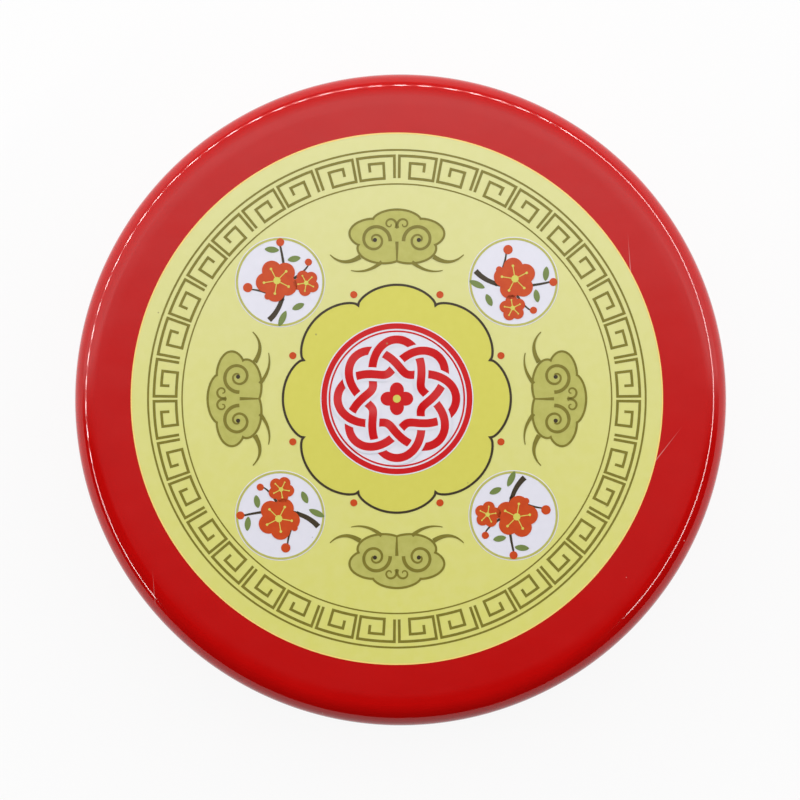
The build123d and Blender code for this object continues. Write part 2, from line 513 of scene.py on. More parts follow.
# %% Wear on the neck
base_skirt = 7.0 * MM
RUB_FADE = 2.0 * MM
RUB_WIDTH, RUB_STRETCH = 0.25 * MM, (1.0, 1.0, 0.05)
RUB_LIMITS = (0.37, 0.43)


def neck_rub(g):
    """Wear on the neck: a share that rises above the skirt, times noise that is long in z and short
    across, times soft patches. What passes the limits is left as upright scratches."""
    _, _, z = g.parts()
    high = g.step(z, base_skirt, base_skirt + RUB_FADE)
    scratch = g.noise(RUB_WIDTH, 3.0, g.squeezed(RUB_STRETCH))
    patch = g.noise(PATCH_SIZE, 2.0)
    return g.step(g.math("MULTIPLY", high, g.math("MULTIPLY", scratch, patch)), *RUB_LIMITS)


base_red = lacquer("base_red_lacquer", neck_rub)
print("finish", base_red.name)

# %% [markdown]
# The base is a second cup that stands upside down to the lid: a floor pressed up in the middle so
# that it stands on a ring, a wall as wide as the lid's, a step that the lid stops on, and a narrower
# neck whose rim is rolled inwards. The lid's mesh could be turned over and changed, but a line of its
# own follows every size.

# %% Press the base
neck_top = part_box("base_shell")[1].z
base_corner = 2.5 * MM
step_bend = 0.5 * MM
foot_ring = 6.8 * MM
panel_raise = 0.8 * MM
panel_bend = 0.6 * MM
panel_slope = 50.0
slip_clearance = 0.05 * MM
neck_radius = tin_radius - curl_width - slip_clearance


def joggle(shift, radius, angle, parts=6):
    """Two equal bends that move the line sideways by shift, and how far they go forward. Between them
    runs a slope of (shift - 2 r (1 - cos a)) / sin a."""
    a = radians(abs(angle))
    slope = (shift - 2 * radius * (1 - cos(a))) / sin(a)
    moves = [bend(radius, angle, parts), run(slope), bend(radius, -angle, parts)]
    return moves, 2 * radius * sin(a) + slope * cos(a)


def press_base():
    """Out along the raised panel and the foot ring, up the wall, in along the step, up the neck and
    round its rolled edge. Here the line's right side is the outside."""
    panel, panel_advance = joggle(panel_raise, panel_bend, -panel_slope)
    neck_step, _ = joggle(tin_radius - neck_radius, step_bend, 90.0)
    step_middle = base_skirt - tinplate / 2
    moves = [
        run(tin_radius - base_corner - foot_ring - panel_advance, 12),
        *panel,
        run(foot_ring, 3),
        bend(base_corner - tinplate / 2, 90, 12),
        run(step_middle - step_bend - base_corner, 3),
        *neck_step,
        run(neck_top - curl_width / 2 - step_middle - step_bend, 5),
        bend(curl_bend, 270, 20),
    ]
    outline = wall((0, panel_raise + tinplate / 2), 0, moves, tinplate)
    half = len(outline) // 2
    inside = (np.arange(len(outline) - 1) >= half).astype(int)
    parts = [grid(turned(outline, LID_STEPS), finish=inside)]
    return make_piece("base_cup", parts, [base_red, tin], "base", ["base_shell"])


press_base()

# %% [markdown]
# ## The print
# The face is printed in flat inks under the varnish. An image would be the short way, but a drawing
# made of shapes stays sharp at any distance, and its sizes can be changed. So each ink is a thin
# closed slab that lies on the face and rides with the lid. An ink that is printed over another lies
# one step higher. The design is a plain traditional one: a key-fret ring, a lobed field with an
# endless knot, plum blossoms and scroll clouds.

# %% Lay inks on the face
INK_STEP = 0.02 * MM
INK_SUNK = 1.5
MITRE_LIMIT = 0.5
PRINT_SHIFT = (-0.57 * MM, 0.18 * MM)
INK_NAMES = ("cream", "edge", "mustard", "white", "gold", "olive", "dark", "red", "orange", "green")
inks = {name: [] for name in INK_NAMES}


def on_face(flat, level):
    """Points (x, y) of the drawing at a level above the face: z = face height + wave + level."""
    x, y = flat[..., 0] + PRINT_SHIFT[0], flat[..., 1] + PRINT_SHIFT[1]
    return np.stack([x, y, face_height + face_wave(x, y) + level], axis=-1)


def fill(ink, outline, layer, parts=1, middle=(0.0, 0.0)):
    """A filled shape whose top lies layer ink steps above the face: the points
    middle + share * (outline - middle), shares 0 to 1 along its underside and 1 to 0 along its top."""
    share = np.linspace(0, 1, parts + 1)[None, :, None]
    flat = np.array(middle) + share * (outline[:, None] - np.array(middle))
    low = on_face(flat, (layer - INK_SUNK) * INK_STEP)
    high = on_face(flat, layer * INK_STEP)
    inks[ink].append(grid(np.concatenate([low, high[:, ::-1]], axis=1)))


def draw(ink, line, width, layer, closed=False, lift=0.0):
    """A drawn line of a width: at each point the two edges lie on the line that halves the corner,
    half the width times (m + n) / (1 + m . n), with m and n square to the stretches that meet there.
    The lower limit keeps sharp corners from shooting out. A lift raises single points."""
    ahead = np.roll(line, -1, axis=0) - line
    if not closed:
        ahead[-1] = ahead[-2]
    ahead /= np.linalg.norm(ahead, axis=1, keepdims=True)
    square = np.stack([-ahead[:, 1], ahead[:, 0]], axis=1)
    before = np.roll(square, 1, axis=0)
    if not closed:
        before[0] = square[0]
    meet = np.maximum(1 + (square * before).sum(axis=1, keepdims=True), MITRE_LIMIT)
    side = (square + before) / meet * np.reshape(width, (-1, 1)) / 2
    high = layer * INK_STEP + np.reshape(lift, -1)
    low = high - INK_SUNK * INK_STEP
    left, right = line + side, line - side
    ring = [on_face(left, low), on_face(right, low), on_face(right, high), on_face(left, high)]
    ring = np.stack(ring, axis=1)
    inks[ink].append(grid(ring, (closed, True)))
    if not closed:
        for end, order in ((ring[0], [0, 3, 1, 2]), (ring[-1], [1, 2, 0, 3])):
            inks[ink].append(grid(end[order].reshape(2, 2, 3), (False, False)))


print("inks", len(inks), "in steps of", round(INK_STEP / MM, 3), "mm")

# %% [markdown]
# The drawing is flat, and its middle is the middle of the disc. A figure is drawn upright at the
# middle, and then moved up and turned into its place, so that it needs only one set of numbers.

# %% Circles and places
def polar(radius, angle):
    """Points at a distance and an angle: (r cos a, r sin a)."""
    return np.stack([radius * np.cos(angle), radius * np.sin(angle)], axis=-1)


def round_turn(steps):
    """The angles of a full turn in equal steps, without the last, which is the first again."""
    return np.linspace(0, 2 * pi, steps, endpoint=False)


def circle(radius, middle=(0.0, 0.0), steps=48):
    """Points of a circle: its middle plus (r cos a, r sin a)."""
    return np.array(middle) + polar(radius, round_turn(steps))


def placed(flat, turn, distance=0.0):
    """Points moved up by a distance and then turned by a, given in degrees, about the middle:
    (x cos a - y sin a, x sin a + y cos a)."""
    a = radians(turn)
    x, y = flat[..., 0], flat[..., 1] + distance
    return np.stack([x * cos(a) - y * sin(a), x * sin(a) + y * cos(a)], axis=-1)


def dot(ink, radius, middle, layer, steps, at):
    """A small filled circle, which at puts in its place."""
    fill(ink, at(circle(radius, middle, steps)), layer, middle=at(np.array(middle)))


print("a point 1 up, turned by 90 degrees, lies at", placed(np.array([0.0, 1.0]), 90).round(3))

# %% [markdown]
# The cream disc isn't quite in the middle of the tin, because the press and the printer never agree to
# the millimetre. Round it runs a fret of square spirals, one of the oldest borders there is. A Curve
# modifier could bend a straight strip of it, but here it is drawn in shares of a cell, and the shares
# are read as an angle and a distance.

# %% Print the disc and the fret
cream_radius = 40.55 * MM
edge_line = 0.2 * MM
fret_inner, fret_outer = 33.7 * MM, 37.1 * MM
fret_line = 0.42 * MM
fret_rings = ((fret_inner - 0.9 * MM, 0.22 * MM), (fret_outer + 0.9 * MM, 0.3 * MM))
FRET_CELLS = 36
FRET_GAP = 0.12
FRET_SHARES = ((0, 0), (0, 1), (1, 1), (1, 0), (0.3, 0), (0.3, 0.68), (0.7, 0.68), (0.7, 0.32))


def refined(points, parts):
    """A polyline with each stretch cut into equal parts."""
    points = np.array(points, float)
    at = np.arange(len(points))
    fine = np.linspace(0, len(points) - 1, (len(points) - 1) * parts + 1)
    return np.stack([np.interp(fine, at, points[:, 0]), np.interp(fine, at, points[:, 1])], axis=1)


fill("cream", circle(cream_radius, steps=LID_STEPS), 1, 24)
draw("edge", circle(cream_radius, steps=LID_STEPS), edge_line, 2, closed=True)
for number in range(FRET_CELLS):
    across, out = refined(FRET_SHARES, 5).T
    across = across if number % 2 else 1 - across
    turn = 2 * pi / FRET_CELLS * (number + FRET_GAP / 2 + (1 - FRET_GAP) * across)
    draw("olive", polar(fret_inner + (fret_outer - fret_inner) * out, turn), fret_line, 2)
for radius, width in fret_rings:
    draw("olive", circle(radius, steps=240), width, 2, closed=True)
print("fret", FRET_CELLS, "cells of", round(2 * pi * fret_outer / FRET_CELLS / MM, 1), "mm")

# %% [markdown]
# In the middle lies a mustard field with eight lobes, and on it a white roundel with an endless knot
# in seal red. It could be drawn strand by strand, but a knot like this is one closed line that goes
# round three times while it swings out and in eight times. Its height swings twice as fast, which is
# just right for over and under to take turns. A wider white line goes with the red one, so that each
# strand cuts off the strand below it.

# %% Print the middle
LOBES = 8
field_radius, field_rise, field_power = 15.4 * MM, 2.0 * MM, 0.6
field_line = 0.36 * MM
pearl_radius, pearl_distance = 0.55 * MM, 17.2 * MM
roundel_radius = 11.7 * MM
roundel_rings = ((11.1 * MM, 0.85 * MM), (10.3 * MM, 0.26 * MM))
KNOT_TURNS, KNOT_SWINGS, KNOT_STEPS = 3, 8, 900
knot_radius, knot_swing, knot_lift = 6.55 * MM, 2.5 * MM, 0.04 * MM
strand_width, strand_border = 1.25 * MM, 2.1 * MM
heart_radius, heart_rise, heart_eye = 1.5 * MM, 1.0 * MM, 0.6 * MM


def lobed(radius, rise, lobes, power, steps=480):
    """A lobed outline: r = radius + rise * |cos(lobes / 2 * a)| ^ power."""
    a = round_turn(steps)
    return polar(radius + rise * np.abs(np.cos(lobes / 2 * a)) ** power, a)


field = lobed(field_radius, field_rise, LOBES, field_power)
fill("mustard", field, 2, 8)
draw("dark", field, field_line, 3, closed=True)
for number in range(LOBES):
    turn = 360 / LOBES * (number + 0.5)
    dot("orange", pearl_radius, (0.0, pearl_distance), 3, 20, lambda flat: placed(flat, turn))
fill("white", circle(roundel_radius, steps=160), 3, 6)
for radius, width in roundel_rings:
    draw("red", circle(radius, steps=160), width, 4, closed=True)

t = round_turn(KNOT_STEPS)
strand = polar(knot_radius + knot_swing * np.cos(KNOT_SWINGS * t), KNOT_TURNS * t)
over = knot_lift * np.sin(2 * KNOT_SWINGS * t)
draw("white", strand, strand_border, 5.5, closed=True, lift=over)
draw("red", strand, strand_width, 6.2, closed=True, lift=over)
fill("red", lobed(heart_radius, heart_rise, 4, 1.0, 96), 4, 2)
fill("mustard", circle(heart_eye, steps=24), 5)
print("the knot crosses itself", KNOT_SWINGS * (KNOT_TURNS - 1), "times")

# %% [markdown]
# Four white roundels hold plum blossoms on their twigs. A blossom could be five discs that overlap,
# but discs in one plane flicker. So it is one outline: seen from its middle, the far side of the
# nearest petal lies at d cos a + sqrt(R^2 - (d sin a)^2), for petals of radius R at a distance d.

# %% Draw petals, twigs and leaves
PETALS = 5


def blossom(petal, spread, steps=100):
    """Outline of round petals: r = d cos a + sqrt(R^2 - (d sin a)^2), with R the radius petal, d the
    distance spread, and a measured from the middle of the nearest petal."""
    a = round_turn(steps)
    off = (a + pi / PETALS) % (2 * pi / PETALS) - pi / PETALS
    return polar(spread * np.cos(off) + np.sqrt(petal**2 - (spread * np.sin(off)) ** 2), a)


def curve(start, pull, end, steps=24):
    """A curve from start to end that is drawn towards pull: (1-t)^2 s + 2t(1-t) p + t^2 e."""
    t = np.linspace(0, 1, steps)[:, None]
    start, pull, end = (np.array(point) * MM for point in (start, pull, end))
    return (1 - t) ** 2 * start + 2 * t * (1 - t) * pull + t**2 * end


def stroke(ink, line, widths, layer):
    """A drawn line whose width in mm runs evenly from the first to the last."""
    draw(ink, line, np.linspace(*widths, len(line)) * MM, layer)


def leaf(length, width, steps=32):
    """A pointed oval: x = length cos(a) / 2, y = width sin(a) |sin(a)|^0.4 / 2."""
    a = round_turn(steps)
    return np.stack([length * np.cos(a), width * np.sin(a) * np.abs(np.sin(a)) ** 0.4], axis=-1) / 2


print("a blossom has", PETALS, "petals")

# %% [markdown]
# Petals lie over buds, buds over leaves, and leaves over twigs, as a printer would lay them. Each step
# up is a fraction of the thickness of a hair, and still keeps the inks from flickering.

# %% Print the blossoms
small_roundel_distance, small_roundel_radius = 25.2 * MM, 6.9 * MM
small_ring_radius, small_ring_line = 6.6 * MM, 0.34 * MM
petal_radius, petal_spread = 1.5 * MM, 1.75 * MM
vein_line, vein_dot, blossom_eye = 0.13 * MM, 0.2 * MM, 0.55 * MM
leaf_width = 0.95 * MM

# Twigs are three points in mm, and a width at each end.
TWIGS = (
    ((-5.3, -2.9), (-0.5, -3.2), (3.9, 3.9), (0.85, 0.3)),
    ((-1.6, -2.4), (-2.6, 0.8), (-3.9, 2.3), (0.5, 0.22)),
    ((1.2, -0.9), (3.6, -1.6), (4.9, -1.2), (0.45, 0.2)),
)
# Places in mm, and then a radius, a turn and a length, or a scale.
BUDS = ((4.3, 4.3, 0.62), (-4.1, 2.9, 0.72), (5.2, -0.9, 0.55), (-2.9, -0.2, 0.5))
LEAVES = ((-3.7, -4.2, 20, 2.6), (2.6, 4.4, 130, 2.2), (-0.7, -4.6, -20, 2.0), (4.0, 1.0, -35, 2.0))
BLOSSOMS = ((-0.2, 0.5, 1.0), (2.7, -2.9, 0.62))
# A vein is drawn upright, and FIRST_VEIN degrees turn it onto a petal.
VEIN = ((0, 0.5), (0, 1.2), (0, 1.9))
VEIN_TIP = (0, 2.0)
FIRST_VEIN = 54


def print_blossom(middle, size, at):
    """Petals, and on each of them a vein with a dot at its tip."""
    petals = blossom(petal_radius * size, petal_spread * size) + middle
    fill("orange", at(petals), 4.4, 2, at(middle))
    for number in range(PETALS):
        turn = 360 / PETALS * number + FIRST_VEIN
        vein, tip = (placed(np.array(part) * size * MM, turn) + middle for part in (VEIN, VEIN_TIP))
        draw("mustard", at(vein), vein_line, 5)
        dot("mustard", vein_dot * size, tip, 5.6, 12, at)
    dot("mustard", blossom_eye * size, middle, 6, 20, at)


def print_small_roundel(turn):
    """One roundel, drawn upright, moved up by its distance and turned about the middle."""
    def at(flat):
        return placed(flat, turn, small_roundel_distance)

    fill("white", at(circle(small_roundel_radius, steps=96)), 2, 3, at(np.zeros(2)))
    draw("gold", at(circle(small_ring_radius, steps=96)), small_ring_line, 3, closed=True)
    for start, pull, end, widths in TWIGS:
        stroke("dark", at(curve(start, pull, end)), widths, 3)
    for x, y, angle, length in LEAVES:
        middle = np.array([x, y]) * MM
        fill("green", at(placed(leaf(length * MM, leaf_width), angle) + middle), 3.4, 1, at(middle))
    for x, y, radius in BUDS:
        dot("orange", radius * MM, np.array([x, y]) * MM, 3.8, 20, at)
    for x, y, size in BLOSSOMS:
        print_blossom(np.array([x, y]) * MM, size, at)


for number in range(4):
    print_small_roundel(45 + 90 * number)
print("each roundel has", len(BLOSSOMS), "blossoms,", len(BUDS), "buds and", len(LEAVES), "leaves")

# %% [markdown]
# Between the roundels float four scroll clouds. Each is a lobed body with two pairs of spirals that
# curl outwards from its middle, and two pairs of tails that thin out like drawn smoke. Both halves
# could be drawn, but one is enough, because the other is its mirror image.

# %% Print the clouds
cloud_distance = 24.6 * MM
cloud_halves = np.array([7.4, 4.3]) * MM
cloud_line, cloud_eye = 0.34 * MM, 0.32 * MM
CLOUD_LOBES = (0.83, 0.17, 5, 0.8)
SPIRAL_END = 0.14

# Scrolls are a middle and a radius in mm, turns, a start in degrees, and a width in mm at each end.
SCROLLS = (
    ((3.35, -0.35), 2.35, 1.6, 185, (0.55, 0.24)),
    ((1.05, 2.05), 1.05, 1.1, 215, (0.385, 0.168)),
)
TAILS = (
    ((5.6, -2.9), (8.2, -4.6), (10.2, -2.6), (0.75, 0.15)),
    ((2.3, -3.7), (4.6, -5.6), (7.0, -5.0), (0.6, 0.12)),
)
STEM = ((0, -0.6), (0.05, -2.2), (0, -3.6))
STEM_WIDTHS = (0.5, 0.2)


def spiral(middle, radius, turns, start, steps=60):
    """A line that winds in: r falls from radius to a seventh of it while the angle runs on."""
    share = np.linspace(0, 1, steps)
    a = radians(start) - 2 * pi * turns * share
    return np.array(middle) * MM + polar(radius * MM * (1 - (1 - SPIRAL_END) * share), a)


def print_cloud(turn):
    """One cloud, drawn upright. Its body is a lobed outline with one of its five lobes straight up,
    stretched in x and y."""
    def at(flat):
        return placed(flat, turn, cloud_distance)

    body = placed(lobed(*CLOUD_LOBES, 200), 90) * cloud_halves
    fill("gold", at(body), 2, 3, at(np.zeros(2)))
    draw("olive", at(body), cloud_line, 3, closed=True)
    for side in (-1, 1):
        mirror = np.array([side, 1])
        for middle, radius, turns, start, widths in SCROLLS:
            stroke("olive", at(spiral(middle, radius, turns, start) * mirror), widths, 3.3)
        dot("dark", cloud_eye, np.array(SCROLLS[0][0]) * mirror * MM, 3.8, 16, at)
        for start, pull, end, widths in TAILS:
            stroke("olive", at(curve(start, pull, end) * mirror), widths, 3.5)
    stroke("olive", at(curve(*STEM)), STEM_WIDTHS, 3.3)


for number in range(4):
    print_cloud(90 * number)
print({name: len(shapes) for name, shapes in inks.items()})

# %% [markdown]
# All inks lie under the same varnish as the red, so they share its skin and gloss. What differs is the
# pigment: each one is a little uneven, and on the pale ones the dust shows as dark flecks. One finish
# could hold all the colours, but one for each ink keeps every graph short.

# %% Mix the inks
INK_COLOURS = {
    "edge": ((0.78, 0.55, 0.15), (0.84, 0.62, 0.21)),
    "mustard": ((0.545, 0.52, 0.09), (0.58, 0.555, 0.106)),
    "white": ((0.63, 0.63, 0.70), (0.67, 0.665, 0.74)),
    "gold": ((0.36, 0.35, 0.076), (0.47, 0.46, 0.135)),
    "olive": ((0.145, 0.13, 0.02), (0.22, 0.19, 0.03)),
    "dark": ((0.032, 0.025, 0.014), (0.055, 0.04, 0.022)),
    "red": ((0.47, 0.005, 0.007), (0.53, 0.008, 0.01)),
    "orange": ((0.44, 0.04, 0.008), (0.54, 0.075, 0.012)),
    "green": ((0.12, 0.17, 0.045), (0.18, 0.24, 0.07)),
}
INK_MOTTLE = 1.3 * MM
FLECK_COLOUR = solid(0.22, 0.20, 0.09)
FLECK_SIZE, FLECK_COVER = 0.035, 0.6
INK_FLECKS = (5.5 * MM, 0.55)
CREAM_FLECKS = (4.5 * MM, 0.50)
# The second cream is the first with a painted reflection of the soft light behind the tin, painted in
# towards the top of the face.
CREAM_AND_PAINTED_VEIL = (solid(0.59, 0.578, 0.146), solid(0.60, 0.594, 0.262))
PAINTED_VEIL_SPAN = (-40 * MM, 50 * MM)
PAINTED_VEIL_RAGGED, PAINTED_VEIL_RAGGED_SIZE = 10 * MM, 11 * MM
CREAM_MOTTLE, CREAM_MOTTLE_SHARE = 1.6 * MM, 0.12
CREAM_MOTTLE_LIMITS = (0.25, 0.75)
PALE_CREAM = solid(0.68, 0.67, 0.38)


def varnished(g, colour, spacing, left_out):
    """A colour with dark flecks on it, under the varnish."""
    flecks = g.math("MULTIPLY", dust(g, spacing, FLECK_SIZE, left_out), FLECK_COVER)
    g.finish(Base_Color=g.mix(flecks, colour, FLECK_COLOUR), Roughness=dullness(g))
    return g.finish(Normal=skin(g), Specular_IOR_Level=VARNISH_GLOSS)


def ink_finish(name, colours):
    """Ink in two colours that trade places in a fine mottle."""
    g = Graph(name + "_ink")
    low, high = (solid(*colour) for colour in colours)
    return varnished(g, g.mix(g.noise(INK_MOTTLE, 3.0), low, high), *INK_FLECKS)


def cream_finish():
    """The cream is painted paler towards the top of the face, a painted reflection of the soft light
    that hangs behind the tin. The change runs over y with a ragged edge, and a pale mottle lies on top."""
    g = Graph("cream_ink")
    _, y, _ = g.parts()
    ragged = g.math("MULTIPLY", g.noise(PAINTED_VEIL_RAGGED_SIZE), PAINTED_VEIL_RAGGED)
    # Painted reflection: the cream turns paler over y towards the top of the face.
    colour = g.mix(g.step(g.math("ADD", y, ragged), *PAINTED_VEIL_SPAN), *CREAM_AND_PAINTED_VEIL)
    mottle = g.step(g.noise(CREAM_MOTTLE, 3.0), *CREAM_MOTTLE_LIMITS)
    colour = g.mix(g.math("MULTIPLY", mottle, CREAM_MOTTLE_SHARE), colour, PALE_CREAM)
    return varnished(g, colour, *CREAM_FLECKS)


finishes = {"cream": cream_finish()}
finishes.update({name: ink_finish(name, colours) for name, colours in INK_COLOURS.items()})
for name, shapes in inks.items():
    make_piece("print_" + name, shapes, [finishes[name]], "lid")

# %% [markdown]
# ## White plastic
# The dish and the ring are moulded in a soft white plastic. It isn't pure white: it yellows a little,
# and the oil of the paste creeps over the ring's inner edge and stains it red. The stain could be
# painted, but it is nothing more than noise, height and distance. The frame's dish is already as
# round as a moulded one, so it keeps its own shape and only gets its finish.

# %% Mould the plastic
cloth_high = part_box("pad_cloth")[1]
silk = 0.25 * MM
silk_gap = 0.05 * MM
skirt_wall = 1.3 * MM
skirt_inner = cloth_high.x - silk - silk_gap - skirt_wall

WHITES = (solid(0.74, 0.73, 0.68), solid(0.82, 0.81, 0.77))
WHITE_MOTTLE = 8 * MM
SCUFF_SIZE, SCUFF_STRETCH, SCUFF_DEPTH = 0.6 * MM, (1.0, 0.2, 1.0), 0.006 * MM
SCUFF_LIMITS = (0.3, 0.8)
PLASTIC_DULLNESS = (0.34, 0.52)
STAIN_COLOUR = solid(0.50, 0.035, 0.025)
CREEP_SIZE, CREEP_REACH, CREEP_COVER = 7 * MM, 6 * MM, 0.75
CREEP_FADE = (-3 * MM, 1 * MM)
MARK_SIZE, MARK_COVER = 9 * MM, 0.35
MARK_LIMITS = (0.56, 0.74)
STAIN_FADE = (1.0 * MM, 2.6 * MM)


def stain(g):
    """How much red covers the ring: it creeps up from the silk and thins out, a few finger marks lie
    above it, and both end a little outside the inner edge."""
    _, _, z = g.parts()
    climb = g.math("ADD", z, g.math("MULTIPLY", g.noise(CREEP_SIZE, 5.0), -CREEP_REACH))
    creep = g.step(climb, *[cloth_high.z + up for up in CREEP_FADE], CREEP_COVER, 0.0)
    marks = g.step(g.noise(MARK_SIZE, 5.0, roughness=0.6), *MARK_LIMITS, 0.0, MARK_COVER)
    inside = g.step(g.distance_out(), *[skirt_inner + out for out in STAIN_FADE], 1.0, 0.0)
    return g.math("MULTIPLY", g.math("MAXIMUM", creep, marks), inside)


def white_plastic(name, stained):
    """Off-white with faint scuffs that are long in y."""
    g = Graph(name)
    scuff = g.noise(SCUFF_SIZE, 4.0, g.squeezed(SCUFF_STRETCH))
    colour = g.mix(g.noise(WHITE_MOTTLE, 3.0), *WHITES)
    if stained:
        colour = g.mix(stain(g), colour, STAIN_COLOUR)
    rough = g.step(scuff, *SCUFF_LIMITS, *PLASTIC_DULLNESS)
    return g.finish(Base_Color=colour, Roughness=rough, Normal=g.bump(scuff, SCUFF_DEPTH))


nodes["inner_dish"].material_slots[0].material = white_plastic("dish_white_plastic", False)
print("inner_dish keeps its own shape")

# %% [markdown]
# The ring clicks into the dish: a flange to press on, a skirt that pushes the silk down, a rounded
# foot that doesn't cut it, and a bead that snaps into a groove. It could be joined from tubes and
# bevelled, but its section as one closed line of runs and bends, with a sharp corner where a bend has
# no radius, keeps all of these in one skin.

# %% Mould the ring
ring_low, ring_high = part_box("clamp_ring")
ring_radius = ring_high.x
ring_flange = 1.0 * MM
ring_edge = 0.45 * MM
ring_bead = 0.7 * MM
ring_bead_drop = 3.0 * MM
foot_height = ring_low.z + skirt_wall / 2
RING_STEPS = 240


def corner(turn):
    """A sharp turn: a bend without a radius."""
    return bend(0.0, turn, 1)


def mould_ring():
    """Down the inside, round the foot, up to the bead and over it, out along the flange, and back
    over its two rounded edges."""
    bead_height = ring_high.z - ring_flange - ring_bead_drop
    moves = [
        run(ring_high.z - ring_edge - foot_height, 8),
        bend(skirt_wall / 2, 180, 12),
        run(bead_height - ring_bead - foot_height, 4),
        corner(-90),
        bend(ring_bead, 180, 12),
        corner(-90),
        run(ring_bead_drop - ring_bead, 2),
        corner(-90),
        run(ring_radius - skirt_inner - skirt_wall, 2),
        corner(90),
        run(ring_flange - ring_edge),
        bend(ring_edge, 90, 6),
        run(ring_radius - skirt_inner - 2 * ring_edge, 3),
        bend(ring_edge, 90, 6),
    ]
    outline, _ = trace((skirt_inner, ring_high.z - ring_edge), -90, moves)
    parts = [grid(turned(outline, RING_STEPS), (True, True))]
    plastic = white_plastic("ring_white_plastic", True)
    return make_piece("silk_ring", parts, [plastic], "base", ["clamp_ring"])


mould_ring()

# %% [markdown]
# ## The silk
# The pad is covered with plain red silk, soaked by the paste in large soft patches. An image of cloth
# could be laid on it, but a plain weave is only two sines and a sign. It follows the cloth, because it
# reads the UV map, where the silk lies flat as it was cut.

# %% Weave the silk
THREAD, WEAVE_DEPTH = 0.42 * MM, 0.10 * MM
WEAVE_UNDER = 0.4
LUMP_SIZE, LUMP_DEPTH = 4 * MM, 0.10 * MM
SOAK_SIZE, SOAK_LIMITS = 11 * MM, (0.40, 0.62)
# Each pair holds the red in the gaps between threads, darkened as painted shade, and the red on top of a
# thread.
DRY_REDS_PAINTED_SHADE_AND_TOP = (solid(0.21, 0.004, 0.003), solid(0.50, 0.011, 0.008))
WET_REDS_PAINTED_SHADE_AND_TOP = (solid(0.22, 0.003, 0.002), solid(0.36, 0.005, 0.004))
SILK_DULLNESS = (0.62, 0.34)
SILK_GLOSS = 0.22
SHEEN, SHEEN_DULLNESS, SHEEN_COLOUR = 0.10, 0.35, solid(0.9, 0.12, 0.08)


def woven(g, pitch):
    """Height of a plain weave, from the sine across each thread. Where the sines of the two
    directions have the same sign, the threads that run along v lie over, at full height, and the
    others lie under, at a share of theirs. Elsewhere they change places."""
    u, v, _ = g.parts(g.add("ShaderNodeUVMap", uv_map="flat").outputs["UV"])
    a = g.math("SINE", g.math("MULTIPLY", u, pi / pitch))
    b = g.math("SINE", g.math("MULTIPLY", v, pi / pitch))
    over = g.math("MULTIPLY_ADD", g.math("SIGN", g.math("MULTIPLY", a, b)), 0.5, 0.5)
    rise = 1 - WEAVE_UNDER
    warp = g.math("MULTIPLY", g.math("ABSOLUTE", a), g.math("MULTIPLY_ADD", over, rise, WEAVE_UNDER))
    weft = g.math("MULTIPLY", g.math("ABSOLUTE", b), g.math("MULTIPLY_ADD", over, -rise, 1.0))
    return g.math("MAXIMUM", warp, weft)


def silk_finish(cut_radius):
    """Red silk, soaked: deeper and wetter in large soft patches. The gaps between threads are painted
    darker as painted shade, so each thread is lighter on top.
    """
    g = Graph("paste_soaked_silk")
    height = woven(g, THREAD / (2 * cut_radius))
    soaked = g.step(g.noise(SOAK_SIZE, 5.0, roughness=0.55), *SOAK_LIMITS)
    colour = g.mix(soaked, g.mix(height, *DRY_REDS_PAINTED_SHADE_AND_TOP), g.mix(height, *WET_REDS_PAINTED_SHADE_AND_TOP))
    weave = g.bump(height, WEAVE_DEPTH, g.bump(g.noise(LUMP_SIZE, 4.0), LUMP_DEPTH))
    g.finish(Base_Color=colour, Roughness=g.step(soaked, 0.0, 1.0, *SILK_DULLNESS), Normal=weave)
    g.finish(Sheen_Weight=SHEEN, Sheen_Roughness=SHEEN_DULLNESS, Sheen_Tint=SHEEN_COLOUR)
    return g.finish(Specular_IOR_Level=SILK_GLOSS)


print("threads", round(THREAD / MM, 2), "mm apart")

# %% [markdown]
# A round of the silk is laid over the paste, and the ring drags its edge down, so it stands like a low
# drum skin. Cloth could be simulated, but a skin that is pulled tight all round has only one shape: a
# dome that turns down at the ring. Small puckers at the edge show where the pull is uneven.

# %% Stretch the silk
silk_edge = 1.0 * MM
silk_hem = 3.0 * MM
dome_angle = 3.2
silk_wall = skirt_inner - silk_gap - silk / 2
dome_radius = (silk_wall - silk_edge * (1 - sin(radians(dome_angle)))) / sin(radians(dome_angle))
silk_crown = cloth_high.z - silk / 2
dome_drop = dome_radius * (1 - cos(radians(dome_angle)))
silk_turn = silk_crown - dome_drop - silk_edge * cos(radians(dome_angle))

SILK_STEPS = 300
PUCKER_DEPTH, PUCKERS = 0.035 * MM, 37
PUCKER_START, PUCKER_FADE = 0.7, 0.25


def dome_moves(below, parts=40):
    """Middle line of the silk: a wide bend down for the dome, a tight one for the edge, and a way
    straight down."""
    return [bend(dome_radius, -dome_angle, parts), bend(silk_edge, dome_angle - 90, 10), run(below, 3)]


def lengths_along(line):
    """How far each point of a line lies from its start: the running sum of the steps before it."""
    return np.concatenate([[0], np.cumsum(np.linalg.norm(np.diff(line, axis=0), axis=1))])


